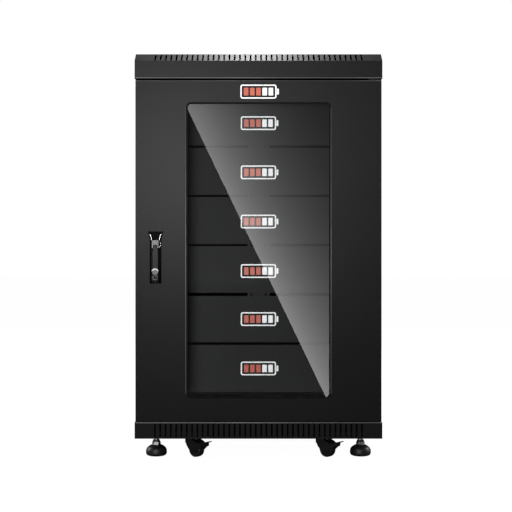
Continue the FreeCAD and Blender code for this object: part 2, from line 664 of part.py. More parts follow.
def battery_faceplate(index):
    """Rack-wide front panel with four ear holes; upper modules have a notched centre tab below."""
    bottom, top = face_span(index)
    front = MODULE_FRONT - FACE_THICK
    plate = box(-FACE_HALF, FACE_HALF, front, MODULE_FRONT, bottom, top)
    pieces = [plate]
    if index >= TAB_FROM:
        pieces.append(box(-TAB_HALF, TAB_HALF, front, MODULE_FRONT, bottom - FACE_GAPS[index] + 0.4,
                          bottom + 1))
    tools = []
    for s in SIGNS:
        for z in screw_heights(index):
            tools.append(rod(s * RACK_HOLE_X, front - 1, z, RACK_SCREW_HOLE_R, FACE_THICK + 2, BACK))
        if index >= TAB_FROM:
            notch = s * TAB_NOTCH
            tools.append(box(notch - 1.5, notch + 1.5, front - 1, MODULE_FRONT + 1,
                             bottom - FACE_GAPS[index], bottom - 0.2))
    return cut(fuse(pieces), tools)


def rack_screws():
    """Pan-head screws that hold the face plates to the rack rails."""
    screws = []
    front = MODULE_FRONT - FACE_THICK
    for index in range(MODULES):
        for s in SIGNS:
            for z in screw_heights(index):
                shank = rod(s * RACK_HOLE_X, front, z, 3.0, 4.9, BACK)
                head = rod(s * RACK_HOLE_X, front - 3, z, 6.0, 3, BACK)
                socket = box(s * RACK_HOLE_X - 3, s * RACK_HOLE_X + 3, front - 4, front - 1.4,
                             z - 0.6, z + 0.6)
                screws.append(fuse([head, shank]).cut(socket))
    return group(screws)


def battery_cells():
    """A row of prismatic cells in each case."""
    cells = []
    for index in range(MODULES):
        z = module_floor(index) + SHEET + 3
        for k in range(CELL_COUNT):
            x = (k - (CELL_COUNT - 1) / 2) * CELL_PITCH
            cells.append(box(x - CELL_THICK / 2, x + CELL_THICK / 2, CELL_FRONT, CELL_BACK,
                             z, z + CELL_HEIGHT))
    return group(cells)


def battery_boards():
    """Battery management boards behind the face plates, each with three components."""
    boards = []
    for index in range(MODULES):
        z = module_floor(index) + SHEET
        board = [box(-BOARD_HALF, BOARD_HALF, BOARD_Y, BOARD_Y + BOARD_THICK, z + 12, z + 100)]
        for x, width, height in BOARD_PARTS:
            board.append(box(x - width / 2, x + width / 2, BOARD_Y - 8, BOARD_Y, z + 40, z + 40 + height))
        boards.append(fuse(board))
    return group(boards)


def busbar(x):
    """Vertical copper bar behind the modules with one strap to every module's terminal."""
    low, high = STACK_BOTTOM + 20, STACK_BOTTOM + MODULES * MODULE_PITCH - 20
    pieces = [box(x - 15, x + 15, BUSBAR_FRONT, BUSBAR_FRONT + BUSBAR_THICK, low, high)]
    for index in range(MODULES):
        z = module_floor(index) + TERMINAL_RISE
        pad_back = TERMINAL_END + 3
        pieces.append(box(x - 9, x + 9, pad_back, BUSBAR_FRONT, z - 1.5, z + 1.5))
        pieces.append(box(x - 9, x + 9, TERMINAL_END, pad_back, z - 9, z + 9))
    return fuse(pieces)


def terminals():
    """Round terminal posts on the modules' backs."""
    back = MODULE_FRONT + MODULE_DEPTH
    posts = []
    for index in range(MODULES):
        z = module_floor(index) + TERMINAL_RISE
        for x in (-TERMINAL_X, TERMINAL_X):
            collar = rod(x, back, z, 14, 8, BACK)
            stem = rod(x, back + 8, z, 6, TERMINAL_END - back - 8, BACK)
            posts.append(fuse([collar, stem]))
    return group(posts)


def busbar_insulators():
    """Insulated cross bars that hold both busbars off the rear rack rails."""
    half = RACK_WEB - SHEET
    front, back = BUSBAR_FRONT + BUSBAR_THICK, RACK_FACE_Y - SHEET
    bars = []
    for z in (STACK_BOTTOM + 36, STACK_BOTTOM + MODULES * MODULE_PITCH - 50):
        bars.append(box(-half, half, front, back, z, z + INSULATOR_HEIGHT))
    return group(bars)


# ---------------------------------------------------------------- casters and feet
def placed(shape, heading, sx, sy):
    """Turns a caster piece drawn with its wheel trailing along +X and puts it under its corner."""
    shape.rotate(vec(0, 0, 0), UP, heading)
    shape.translate(vec(sx * CASTER_X, sy * CASTER_Y, 0))
    return shape


def caster_plates():
    """Bolted top plates, each with its ball race and kingpin."""
    plates = []
    for sx, sy in CORNERS:
        x, y = sx * CASTER_X, sy * CASTER_Y
        plate = [box(x - 27, x + 27, y - 22, y + 22, CASTER_TOP - 2.5, CASTER_TOP),
                 rod(x, y, CASTER_TOP - 5, 14, 2.5), rod(x, y, CASTER_TOP - 11, KINGPIN_R, 6)]
        for dx, dy in CORNERS:
            bolt_x, bolt_y = x + dx * CASTER_BOLT_X, y + dy * CASTER_BOLT_Y
            plate.append(hexagon(bolt_x, bolt_y, CASTER_TOP - 4.8, 9, 2.3))
            plate.append(rod(bolt_x, bolt_y, CASTER_TOP, CASTER_BOLT_R, 6))
        plates.append(fuse(plate))
    return group(plates)


def cheek_outline():
    """A caster cheek's outline in the XZ plane: tall at the crown, narrowing to the axle."""
    axle_z = WHEEL_R + WHEEL_LIFT
    crown_z = CASTER_TOP - 9
    points = [vec(-15, 0, crown_z)]
    for angle in (75, 60, 45, 30, 15):
        turn = math.radians(angle)
        points.append(vec(TRAIL + HOOD_R * math.cos(turn), 0, axle_z + HOOD_R * math.sin(turn)))
    points += [vec(TRAIL + 9, 0, axle_z - 5), vec(TRAIL, 0, axle_z - 9), vec(TRAIL - 9, 0, axle_z - 5)]
    return points + [vec(-9, 0, axle_z + 9), vec(-13, 0, axle_z + 20)]


def caster_fork(brake):
    """Hooded fork drawn about the swivel axis with its axle; brake adds the pedal's ears and pin."""
    axle_z = WHEEL_R + WHEEL_LIFT
    outside = CHEEK_IN + CHEEK_THICK
    sides = (-outside, CHEEK_IN)
    top = CASTER_TOP - 5.4
    low = axle_z + HOOD_R * math.sin(math.radians(15))
    crown = fuse([rod(0, 0, top - 12, 18.5, 12), rod(TRAIL, 0, top - 12, outside, 12)])
    hood = rod(TRAIL, -CHEEK_IN - 0.5, axle_z, HOOD_R, 2 * CHEEK_IN + 1, BACK)
    hood = hood.cut(box(-60, 80, -20, 20, axle_z - 40, low))
    apron = box(-15, -12, -13, 13, axle_z + 14, top - 6)
    room = rod(TRAIL, -CHEEK_IN, axle_z, HOOD_R - 2.2, 2 * CHEEK_IN, BACK)
    pieces = [fuse([crown, hood, apron]).cut(room)]
    for y in sides:
        pieces.append(prism(cheek_outline(), vec(0, y, 0), CHEEK_THICK, BACK))
    pieces.append(rod(TRAIL, -outside - 1, axle_z, 3.0, 2 * outside + 2, BACK))
    for y in (-outside - 4, outside):
        pieces.append(hexagon(TRAIL, y, axle_z, 10, 4, BACK))
    if brake:
        pivot_x, pivot_z = pedal_pivot()
        for y in sides:
            pieces.append(rod(pivot_x, y, pivot_z, 5.2, CHEEK_THICK, BACK))
        pieces.append(rod(pivot_x, -13, pivot_z, PEDAL_PIN_R, 26, BACK))
    return fuse(pieces).cut(rod(0, 0, CASTER_TOP - 11.5, KINGPIN_R + RUNNING, 20))


def caster_wheel():
    """Wheel with a rounded tread and stepped hub."""
    half = WHEEL_HALF
    profile = [(3.05, -half), (8, -half), (8, -half + 1.5), (13.5, -half + 1.5), (14.5, -half),
               (WHEEL_R - 2.5, -half), (WHEEL_R - 0.6, -half + 2), (WHEEL_R, -half + 5),
               (WHEEL_R, half - 5), (WHEEL_R - 0.6, half - 2), (WHEEL_R - 2.5, half),
               (14.5, half), (13.5, half - 1.5), (8, half - 1.5), (8, half), (3.05, half)]
    wheel = turned(profile)
    wheel.rotate(vec(0, 0, 0), RIGHT, 90)
    wheel.translate(vec(TRAIL, 0, WHEEL_R + WHEEL_LIFT))
    return wheel


def pedal_pivot():
    """Place of the brake pedal's pin in the caster's own XZ plane."""
    angle = math.radians(PEDAL_ANGLE)
    x = TRAIL + PEDAL_REACH * math.cos(angle)
    return x, WHEEL_R + WHEEL_LIFT + PEDAL_REACH * math.sin(angle)


def brake_pedal():
    """Brake pedal on its pin over the trailing side of the wheel, with a turned-up toe plate."""
    x, z = pedal_pivot()
    outline = [vec(-2.5, 0, -1.5), vec(1, 0, -3), vec(8, 0, -1), vec(9, 0, 5.5), vec(18, 0, 8.5),
               vec(18, 0, 10.8), vec(5.5, 0, 7.5), vec(5, 0, 2.5), vec(-1, 0, 3)]
    half = CHEEK_IN - 1
    arm = prism(outline, vec(x, -half, z), 2 * half, BACK)
    hub = rod(x, -half, z, 3.5, 2 * half, BACK)
    return fuse([arm, hub]).cut(rod(x, -half - 1, z, PEDAL_PIN_R + RUNNING, 2 * half + 2, BACK))


def levelling_foot(sx, sy):
    """Rubber pad with its dark lock nut, and the M12 stud with the bright adjusting hexagon."""
    x, y = sx * FOOT_X, sy * FOOT_Y
    pad = turned([(0, 0), (FOOT_R - 6, 0), (FOOT_R - 2.5, 1.6), (FOOT_R - 0.3, 5), (FOOT_R, 9),
                  (FOOT_R - 0.4, 14), (FOOT_R - 1.8, 17.8), (FOOT_R - 4.6, 21), (FOOT_R - 9, 24.2),
                  (14, 25.8), (11, 27), (0, 27)])
    pad = pad.cut(rod(0, 0, 12, STUD_R, 20))
    lock_nut = hexagon(0, 0, 34, 15.5, 4.5).cut(rod(0, 0, 33, STUD_R, 8))
    foot = group([pad, lock_nut])
    foot.translate(vec(x, y, 0))
    stud = fuse([rod(x, y, 12, STUD_R, 90), hexagon(x, y, 27, 18.5, 7)])
    return foot, stud


# ---------------------------------------------------------------- writing
def all_parts():
    parts = {
        "base_tray": base_tray(),
        "filter_mats": filter_mats(),
        "corner_posts": corner_posts(),
        "frame_rails": frame_rails(),
        "rack_rails": rack_rails(),
        "battery_runners": battery_runners(),
        "top_cover": top_cover(),
        "cable_brush": cable_brush(),
        "left_side_panel": side_panel(-1),
        "right_side_panel": side_panel(1),
        "hinge_pins": hinge_pins(),
        "front_door": front_door(),
        "door_bushes": door_bushes(),
        "window_gasket": window_gasket(),
        "window_glass": window_glass(),
        "lock_housing": lock_housing(),
        "lock_spindle": lock_spindle(),
        "lever": lever(),
        "latch_cam": latch_cam(),
        "key_cylinder": key_cylinder(),
        "rear_door": rear_door(),
        "rear_lock": rear_lock(),
        "screws": group([panel_screws(), rack_screws()]),
        "battery_cells": battery_cells(),
        "battery_boards": battery_boards(),
        "terminals": terminals(),
        "busbar_positive": busbar(TERMINAL_X),
        "busbar_negative": busbar(-TERMINAL_X),
        "busbar_insulators": busbar_insulators(),
        "caster_plates": caster_plates(),
    }
    for index in range(MODULES):
        parts[f"battery_{index + 1}_case"] = battery_case(index)
        parts[f"battery_{index + 1}_faceplate"] = battery_faceplate(index)
    for number, (sx, sy) in enumerate(CORNERS, 1):
        heading = FRONT_HEADING if sy < 0 else REAR_HEADING
        parts[f"caster_{number}_fork"] = placed(caster_fork(sy < 0), heading, sx, sy)
        parts[f"caster_{number}_wheel"] = placed(caster_wheel(), heading, sx, sy)
        if sy < 0:
            parts[f"caster_{number}_brake"] = placed(brake_pedal(), heading, sx, sy)
        pad, stud = levelling_foot(sx, sy)
        parts[f"foot_{number}_pad"] = pad
        parts[f"foot_{number}_stud"] = stud
    return parts


def main():
    os.makedirs("parts", exist_ok=True)
    for name, shape in all_parts().items():
        if not shape.isValid():
            print("invalid shape:", name)
        shape.exportStep(f"parts/{name}.step")


main()
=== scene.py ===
"""Looks of the floor-standing battery cabinet: materials, badges, lock trim, studio and camera."""

import json
import math

import bmesh
import bpy
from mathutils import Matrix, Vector


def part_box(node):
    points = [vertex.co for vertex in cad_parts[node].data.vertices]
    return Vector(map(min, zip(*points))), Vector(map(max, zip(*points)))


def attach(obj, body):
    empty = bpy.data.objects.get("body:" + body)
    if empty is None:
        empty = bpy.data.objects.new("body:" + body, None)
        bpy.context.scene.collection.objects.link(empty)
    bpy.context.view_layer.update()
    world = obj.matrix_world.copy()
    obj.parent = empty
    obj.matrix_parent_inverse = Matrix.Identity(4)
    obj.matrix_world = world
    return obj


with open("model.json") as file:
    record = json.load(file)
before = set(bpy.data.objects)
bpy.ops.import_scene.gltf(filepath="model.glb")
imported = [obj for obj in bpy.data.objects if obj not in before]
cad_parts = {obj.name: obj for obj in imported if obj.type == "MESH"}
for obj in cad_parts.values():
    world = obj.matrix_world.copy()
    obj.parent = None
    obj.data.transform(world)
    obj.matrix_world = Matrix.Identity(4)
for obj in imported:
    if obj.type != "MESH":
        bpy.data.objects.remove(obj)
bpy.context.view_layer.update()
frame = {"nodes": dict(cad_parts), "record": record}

# ---------------------------------------------------------------- places read from the frame
DOOR_LOW, DOOR_HIGH = [Vector(corner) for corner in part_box("front_door")]
GLASS_LOW, GLASS_HIGH = [Vector(corner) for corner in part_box("window_glass")]
HOUSING_LOW, HOUSING_HIGH = [Vector(corner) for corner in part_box("lock_housing")]
LOCK_AXIS = (HOUSING_LOW.x + HOUSING_HIGH.x) / 2
COVER_LOW, COVER_HIGH = [Vector(corner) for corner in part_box("top_cover")]

# ---------------------------------------------------------------- sizes of the added pieces, in metres
MODULES = 6
PANE_MARGIN = 0.011          # how far the gasket covers the glass all round
SHEET_EDGE = 0.0006          # bevel on folded sheet and mouldings
WEAR_RADIUS = 0.0005         # reach of the rubbed look beside an edge

BADGE_WIDTH = 0.093
BADGE_HEIGHT = 0.034
BADGE_THICKNESS = 0.0004
BADGE_CORNER = 0.005
BAR_CORNER = 0.0015
CHARGE_BARS, CHARGED_BARS = 5, 3
DOOR_BADGE_Z = 0.892

TRIM_PROUD = 0.0003          # the turning spindle head passes 0.4 mm in front of the escutcheon
FLARE_RADIUS = 0.0012
FLARE_ARC = 0.034
FLARE_SWEEP = 29             # degrees
FLARE_CENTRE = (0.0435, 0.0225)     # from the escutcheon's axis and down from its top
HOOK_RADIUS = 0.0007
HOOK_ARC = 0.0066
HOOK_CENTRE = (0.0062, 0.0315)
FOOT_BAR_RADIUS = 0.0014
FOOT_BAR_HALF = 0.0078
FOOT_BAR_RISE = 0.0026

INLAY_DEPTH = 0.0005         # plates let into the lever, so that nothing stands in front of it
INLAY_RELIEF = 0.00005       # their faces stay clear of the lever's own face by this much
CRESCENT_INNER, CRESCENT_OUTER = 0.0066, 0.0090
CRESCENT_DROP = 0.0005
BLOCK_OUTER, BLOCK_INNER = (0.0150, 0.0110), (0.0066, 0.0048)
BLOCK_RISE = 0.0078          # above the lever's lower end

BEAD_RADIUS = 0.0013
THIN_BEAD_RADIUS = 0.0011
BEAD_INSET = 0.0015
HEM_OFFSET = 0.0014          # from a sheet's edge to its bead
DOOR_HEM_OFFSET = 0.0012
WINDOW_BEAD_GAP = 0.0024
WINDOW_BEAD_END = 0.010

# ---------------------------------------------------------------- studio and camera, in metres and watts
FLOOR_SIZE = 40.0
FLOOR_GLOW = 0.985
FLOOR_SHADE = 0.93           # how dark the floor is below the rear half of the cabinet
SHADE_EDGE = (0.29, 0.22)    # where that shade starts and is full, sideways and at the back
SHADE_FRONT = (0.03, 0.09)
SURROUND_LIGHT = 0.03

CAMERA_X = -0.006
CAMERA_HEIGHT = 0.494
CAMERA_DISTANCE = 2.6
FRONT_FRAME_WIDTH = 1.2395   # width of the picture at the door's face
SENSOR_WIDTH = 36.0          # millimetres

CARD_GAP = 1.0
CARD_BOTTOM, CARD_TOP, CARD_RIGHT = 0.002, 1.2, 0.9
CARD_POWER = 2.25
CARD_LEAN = 0.54             # loss of power for each metre upwards
CARD_FADE = 7.0
EDGE_TOP = (-0.1724, 0.851)  # x and z on the pane where the reflection starts and stops
EDGE_LOW = (0.1637, 0.151)


# ---------------------------------------------------------------- material helpers
def new_material(name):
    """A node material with its Principled shader; returns the material, its nodes, links and shader."""
    material = bpy.data.materials.new(name)
    material.use_nodes = True
    nodes, links = material.node_tree.nodes, material.node_tree.links
    shader = next(n for n in nodes if n.type == "BSDF_PRINCIPLED")
    return material, nodes, links, shader


def object_coords(nodes):
    return nodes.new("ShaderNodeTexCoord").outputs["Object"]


def math_node(nodes, links, operation, first, second=0.0):
    node = nodes.new("ShaderNodeMath")
    node.operation = operation
    for socket, value in zip(node.inputs, (first, second)):
        if isinstance(value, (int, float)):
            socket.default_value = value
        else:
            links.new(value, socket)
    return node.outputs["Value"]


def noise(nodes, links, coords, scale, detail=3.0, rough=0.5):
    node = nodes.new("ShaderNodeTexNoise")
    node.inputs["Scale"].default_value = scale
    node.inputs["Detail"].default_value = detail
    node.inputs["Roughness"].default_value = rough
    links.new(coords, node.inputs["Vector"])
    return node.outputs["Fac"]


def ramp(nodes, links, value, stops):
    """A colour ramp; stops are (position, grey or rgb)."""
    node = nodes.new("ShaderNodeValToRGB")
    elements = node.color_ramp.elements
    while len(elements) < len(stops):
        elements.new(0.5)
    for element, (position, colour) in zip(elements, stops):
        rgb = colour if isinstance(colour, tuple) else (colour, colour, colour)
        element.position = position
        element.color = (*rgb, 1.0)
    links.new(value, node.inputs["Fac"])
    return node.outputs["Color"]


def spread(nodes, links, value, low, high):
    """Maps a 0.3 to 0.7 noise value onto low to high."""
    node = nodes.new("ShaderNodeMapRange")
    node.inputs["From Min"].default_value = 0.3
    node.inputs["From Max"].default_value = 0.7
    node.inputs["To Min"].default_value = low
    node.inputs["To Max"].default_value = high
    links.new(value, node.inputs["Value"])
    return node.outputs["Result"]


def bump(nodes, links, shader, height, strength, distance):
    node = nodes.new("ShaderNodeBump")
    node.inputs["Strength"].default_value = strength
    node.inputs["Distance"].default_value = distance
    links.new(height, node.inputs["Height"])
    links.new(node.outputs["Normal"], shader.inputs["Normal"])


def worn_edges(nodes, links, base, edge_colour, amount):
    """Lightens the colour where the surface turns within half a millimetre, as on rubbed edges."""
    rounded = nodes.new("ShaderNodeBevel")
    rounded.samples = 4
    rounded.inputs["Radius"].default_value = WEAR_RADIUS
    compare = nodes.new("ShaderNodeVectorMath")
    compare.operation = "DOT_PRODUCT"
    links.new(rounded.outputs["Normal"], compare.inputs[0])
    links.new(nodes.new("ShaderNodeNewGeometry").outputs["Normal"], compare.inputs[1])
    mask = ramp(nodes, links, compare.outputs["Value"], [(0.80, amount), (0.98, 0.0)])
    mix = nodes.new("ShaderNodeMix")
    mix.data_type = "RGBA"
    links.new(mask, mix.inputs["Factor"])
    links.new(base, mix.inputs["A"])
    mix.inputs["B"].default_value = (*edge_colour, 1.0)
    return mix.outputs["Result"]


def coated(name, dark, light, roughness):
    """Textured powder coat: fine orange peel, slight cloudiness and worn edges."""
    material, nodes, links, shader = new_material(name)
    coords = object_coords(nodes)
    cloud = noise(nodes, links, coords, 6.0, 4.0)
    colour = ramp(nodes, links, cloud, [(0.3, dark), (0.7, light)])
    edge = tuple(min(1.0, value * 2.2) for value in light)
    links.new(worn_edges(nodes, links, colour, edge, 0.5), shader.inputs["Base Color"])
    grain = noise(nodes, links, coords, 2600.0, 2.0, 0.6)
    links.new(spread(nodes, links, grain, roughness - 0.05, roughness + 0.06), shader.inputs["Roughness"])
    bump(nodes, links, shader, grain, 0.12, 0.00025)
    return material


def metal(name, dark, light, roughness):
    """Plated or brushed metal with fine directional streaks."""
    material, nodes, links, shader = new_material(name)
    mapping = nodes.new("ShaderNodeMapping")
    mapping.inputs["Scale"].default_value = (1.0, 1.0, 0.08)
    links.new(object_coords(nodes), mapping.inputs["Vector"])
    streak = noise(nodes, links, mapping.outputs["Vector"], 880.0, 3.0)
    tarnish = noise(nodes, links, object_coords(nodes), 44.0, 4.0)
    links.new(ramp(nodes, links, tarnish, [(0.3, dark), (0.7, light)]), shader.inputs["Base Color"])
    shader.inputs["Metallic"].default_value = 1.0
    links.new(spread(nodes, links, streak, roughness - 0.07, roughness + 0.1), shader.inputs["Roughness"])
    bump(nodes, links, shader, streak, 0.12, 0.0001)
    return material


def moulded(name, dark, light, roughness, scale=900.0, strength=0.3, specular=0.5):
    """Moulded plastic or rubber with a fine grain."""
    material, nodes, links, shader = new_material(name)
    coords = object_coords(nodes)
    grain = noise(nodes, links, coords, scale, 3.0, 0.6)
    cloud = noise(nodes, links, coords, 25.0, 3.0)
    colour = ramp(nodes, links, cloud, [(0.3, dark), (0.7, light)])
    edge = tuple(min(1.0, value * 1.8) for value in light)
    links.new(worn_edges(nodes, links, colour, edge, 0.4), shader.inputs["Base Color"])
    links.new(spread(nodes, links, grain, roughness - 0.06, roughness + 0.08), shader.inputs["Roughness"])
    shader.inputs["Specular IOR Level"].default_value = specular
    bump(nodes, links, shader, grain, strength, 0.0002)
    return material


def smoked_glass():
    """Tempered pane: it lets light through with a grey tint and mirrors by Fresnel."""
    material, nodes, links, shader = new_material("smoked_glass")
    nodes.remove(shader)
    output = next(n for n in nodes if n.type == "OUTPUT_MATERIAL")
    clear = nodes.new("ShaderNodeBsdfTransparent")
    smear = noise(nodes, links, object_coords(nodes), 9.0, 4.0)
    links.new(ramp(nodes, links, smear, [(0.3, (0.94, 0.945, 0.95)), (0.7, (0.965, 0.97, 0.975))]),
              clear.inputs["Color"])
    mirror = nodes.new("ShaderNodeBsdfGlossy")
    mirror.inputs["Roughness"].default_value = 0.0
    fresnel = nodes.new("ShaderNodeFresnel")
    fresnel.inputs["IOR"].default_value = 2.1
    outside = math_node(nodes, links, "SUBTRACT", 1.0,
                        nodes.new("ShaderNodeNewGeometry").outputs["Backfacing"])
    share = math_node(nodes, links, "MULTIPLY", fresnel.outputs["Fac"], outside)
    mix = nodes.new("ShaderNodeMixShader")
    links.new(share, mix.inputs["Fac"])
    links.new(clear.outputs["BSDF"], mix.inputs[1])
    links.new(mirror.outputs["BSDF"], mix.inputs[2])
    links.new(mix.outputs["Shader"], output.inputs["Surface"])
    return material


def circuit_board():
    """Green solder mask with copper traces."""
    material, nodes, links, shader = new_material("circuit_board")
    brick = nodes.new("ShaderNodeTexBrick")
    brick.inputs["Scale"].default_value = 60.0
    brick.inputs["Mortar Size"].default_value = 0.03
    brick.inputs["Color1"].default_value = (0.01, 0.09, 0.03, 1)
    brick.inputs["Color2"].default_value = (0.015, 0.11, 0.04, 1)
    brick.inputs["Mortar"].default_value = (0.25, 0.2, 0.06, 1)
    links.new(object_coords(nodes), brick.inputs["Vector"])
    links.new(brick.outputs["Color"], shader.inputs["Base Color"])
    shader.inputs["Roughness"].default_value = 0.35
    return material


def bristles():
    """Dense dark fibres running across the cable entry."""
    material, nodes, links, shader = new_material("brush_fibre")
    wave = nodes.new("ShaderNodeTexWave")
    wave.bands_direction = "X"
    wave.inputs["Scale"].default_value = 260.0
    wave.inputs["Distortion"].default_value = 1.5
    links.new(object_coords(nodes), wave.inputs["Vector"])
    links.new(ramp(nodes, links, wave.outputs["Fac"], [(0.2, 0.004), (0.9, 0.03)]),
              shader.inputs["Base Color"])
    shader.inputs["Roughness"].default_value = 0.7
    bump(nodes, links, shader, wave.outputs["Fac"], 0.8, 0.0006)
    return material


def fade_between(nodes, links, value, start, stop):
    """0 at start and 1 at stop, smoothly."""
    node = nodes.new("ShaderNodeMapRange")
    node.interpolation_type = "SMOOTHSTEP"
    node.inputs["From Min"].default_value = start
    node.inputs["From Max"].default_value = stop
    links.new(value, node.inputs["Value"])
    return node.outputs["Result"]


def shade_under_cabinet(nodes, links):
    """1 in the open and nearly 0 on the floor below the rear half of the cabinet."""
    split = nodes.new("ShaderNodeSeparateXYZ")
    links.new(nodes.new("ShaderNodeNewGeometry").outputs["Position"], split.inputs["Vector"])
    across = math_node(nodes, links, "ABSOLUTE", split.outputs["X"])
    inside = fade_between(nodes, links, across, *SHADE_EDGE)
    for start, stop in (SHADE_FRONT, SHADE_EDGE):
        edge = fade_between(nodes, links, split.outputs["Y"], start, stop)
        inside = math_node(nodes, links, "MULTIPLY", inside, edge)
    shade = math_node(nodes, links, "MULTIPLY", inside, FLOOR_SHADE)
    return math_node(nodes, links, "SUBTRACT", 1.0, shade)


def floor_material():
    """Pale floor that stays near white for the camera and gives the cabinet only soft bounce light."""
    material, nodes, links, shader = new_material("floor")
    shader.inputs["Roughness"].default_value = 0.9
    shader.inputs["Base Color"].default_value = (0.06, 0.06, 0.06, 1)
    glow = nodes.new("ShaderNodeEmission")
    glow.inputs["Color"].default_value = (1, 1, 1, 1)
    seen = nodes.new("ShaderNodeLightPath").outputs["Is Camera Ray"]
    lift = math_node(nodes, links, "MULTIPLY", seen, FLOOR_GLOW)
    links.new(math_node(nodes, links, "MULTIPLY", lift, shade_under_cabinet(nodes, links)),
              glow.inputs["Strength"])
    total = nodes.new("ShaderNodeAddShader")
    links.new(shader.outputs["BSDF"], total.inputs[0])
    links.new(glow.outputs["Emission"], total.inputs[1])
    output = next(n for n in nodes if n.type == "OUTPUT_MATERIAL")
    links.new(total.outputs["Shader"], output.inputs["Surface"])
    return material


def all_materials():
    """A material for every slot of the record, by slot name, and those of the badges and trim."""
    return {
        "powder_coat": coated("powder_coat", (0.0125, 0.0126, 0.0142), (0.0155, 0.0156, 0.0174), 0.44),
        "plinth_coat": coated("plinth_coat", (0.016, 0.016, 0.017), (0.021, 0.021, 0.022), 0.45),
        "module_face": coated("module_face", (0.040, 0.040, 0.042), (0.048, 0.048, 0.050), 0.5),
        "smoked_glass": smoked_glass(),
        "gasket_rubber": moulded("gasket_rubber", (0.004, 0.004, 0.004), (0.008, 0.008, 0.008), 0.7),
        "zinc": metal("zinc", (0.60, 0.62, 0.64), (0.80, 0.82, 0.84), 0.28),
        "cell_case": moulded("cell_case", (0.03, 0.08, 0.22), (0.05, 0.12, 0.30), 0.3, 300.0, 0.1),
        "circuit_board": circuit_board(),
        "copper": metal("copper", (0.62, 0.26, 0.13), (0.80, 0.40, 0.22), 0.3),
        "insulator": moulded("insulator", (0.30, 0.02, 0.01), (0.38, 0.03, 0.015), 0.45),
        "black_plastic": moulded("black_plastic", (0.008, 0.008, 0.009), (0.014, 0.014, 0.015), 0.42),
        # near black with almost no sheen: the escutcheon's own black, darkened further as painted shade for
        # the recess round the lever
        "lock_body": moulded("lock_body", (0.0006, 0.0006, 0.0006), (0.0014, 0.0014, 0.0014), 0.25,
                             specular=0.04),
        "lever_paint": moulded("lever_paint", (0.011, 0.012, 0.013), (0.017, 0.018, 0.020), 0.32),
        "lock_metal": metal("lock_metal", (0.20, 0.20, 0.21), (0.30, 0.30, 0.31), 0.38),
        "wheel_plastic": moulded("wheel_plastic", (0.012, 0.012, 0.013), (0.022, 0.022, 0.024), 0.38),
        "pad_rubber": moulded("pad_rubber", (0.006, 0.006, 0.006), (0.011, 0.011, 0.011), 0.45, 500.0),
        "brush_fibre": bristles(),
        "nickel": metal("nickel", (0.50, 0.50, 0.51), (0.62, 0.62, 0.63), 0.40),
        # light grey paint in place of the chrome crescent above the key: a painted highlight on a bright part
        "inlay_painted_highlight": coated("inlay_painted_highlight", (0.55, 0.55, 0.56), (0.65, 0.65, 0.66), 0.4),
        # lighter copies of the black coat for the beads: painted highlights on the folded edges, the second
        # one dimmer
        "bead_painted_highlight": coated("bead_painted_highlight", (0.065, 0.065, 0.067), (0.085, 0.085, 0.087), 0.5),
        "bead_painted_dim_highlight": coated("bead_painted_dim_highlight", (0.035, 0.035, 0.036), (0.045, 0.045, 0.046), 0.5),
        "badge_white": moulded("badge_white", (0.80, 0.80, 0.80), (0.88, 0.88, 0.88), 0.45, 600.0, 0.1),
        "badge_orange": moulded("badge_orange", (0.40, 0.055, 0.020), (0.48, 0.075, 0.026), 0.45, 600.0, 0.1),
    }


MATERIALS = all_materials()


def dress_cad_nodes():
    """Gives every CAD node its slot's material."""
    for entry in frame["record"]["subparts"]:
        node = frame["nodes"][entry["node"]]
        node.data.materials.clear()
        node.data.materials.append(MATERIALS[entry["material_slot"]])


def ease_edges(names):
    """A small bevel that lets folded sheet and mouldings catch the light."""
    for name in names:
        bevel = frame["nodes"][name].modifiers.new("eased", "BEVEL")
        bevel.width = SHEET_EDGE
        bevel.segments = 2
        bevel.limit_method = "ANGLE"
        bevel.angle_limit = math.radians(35)
        bevel.use_clamp_overlap = True


# ---------------------------------------------------------------- mesh helpers
def rounded_outline(width, height, radius):
    """Corner points of a rounded rectangle about the origin, anticlockwise."""
    steps = 5
    points = []
    for quarter, (sx, sy) in enumerate(((1, 1), (-1, 1), (-1, -1), (1, -1))):
        for step in range(steps + 1):
            angle = math.radians(90 * quarter + 90 * step / steps)
            points.append((sx * (width / 2 - radius) + radius * math.cos(angle),
                           sy * (height / 2 - radius) + radius * math.sin(angle)))
    return points


def shifted(points, dx):
    return [(x + dx, z) for x, z in points]


def add_plate(mesh, points, thickness, place, slot, hole=None):
    """Adds a flat plate facing -Y, with an optional hole that has as many points as the outline."""
    def ring(outline, y):
        return [mesh.verts.new((place[0] + x, place[1] + y, place[2] + z)) for x, z in outline]

    front, back = ring(points, -thickness), ring(points, 0.0)
    count = len(points)
    faces = []
    if hole:
        inner_front, inner_back = ring(hole, -thickness), ring(hole, 0.0)
    for k in range(count):
        n = (k + 1) % count
        faces.append(mesh.faces.new((front[k], back[k], back[n], front[n])))
        if hole:
            faces.append(mesh.faces.new((front[k], front[n], inner_front[n], inner_front[k])))
            faces.append(mesh.faces.new((back[n], back[k], inner_back[k], inner_back[n])))
            faces.append(mesh.faces.new((inner_front[k], inner_front[n], inner_back[n], inner_back[k])))
    if not hole:
        faces.append(mesh.faces.new(front))
        faces.append(mesh.faces.new(list(reversed(back))))
    for face in faces:
        face.material_index = slot


def link_mesh(name, mesh, materials, smooth=True):
    """Turns the mesh into an object of the scene, with its faces outwards."""
    bmesh.ops.recalc_face_normals(mesh, faces=mesh.faces)
    data = bpy.data.meshes.new(name)
    mesh.to_mesh(data)
    mesh.free()
    for material in materials:
        data.materials.append(material)
    for face in data.polygons:
        face.use_smooth = smooth
    piece = bpy.data.objects.new(name, data)
    bpy.context.scene.collection.objects.link(piece)
    return piece


